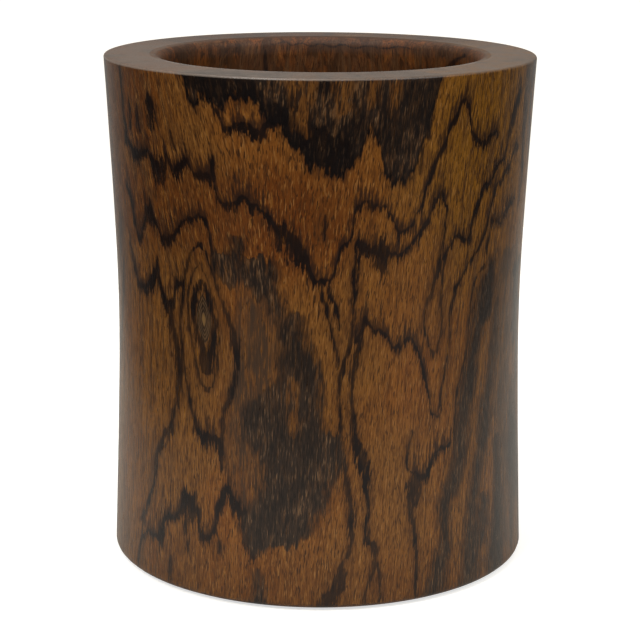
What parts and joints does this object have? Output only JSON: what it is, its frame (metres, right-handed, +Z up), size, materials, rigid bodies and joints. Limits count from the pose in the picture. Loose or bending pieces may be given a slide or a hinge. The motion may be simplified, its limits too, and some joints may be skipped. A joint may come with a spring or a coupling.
{
  "type": "brush pot",
  "caption": "Turned hardwood brush pot: waisted thick-walled cup with a flat rim, rounded foot ring and an inset base board.",
  "frame": {"origin": "centre of the foot ring, on the surface that the pot stands on", "axes": "+Z up along the turning axis, out of the mouth; +X and +Y are free, because the shape is turned"},
  "size_m": [0.1266, 0.1266, 0.15],
  "materials": {
    "figured_wood": "satin, waxed and hand-polished, with dark veins",
    "base_wood": "smooth, unpolished",
    "plug_wood": "smooth end grain"
  },
  "bodies": {
    "root": {"pot_body": "figured_wood", "base_board": "base_wood", "base_plug": "plug_wood"}
  },
  "joints": []
}
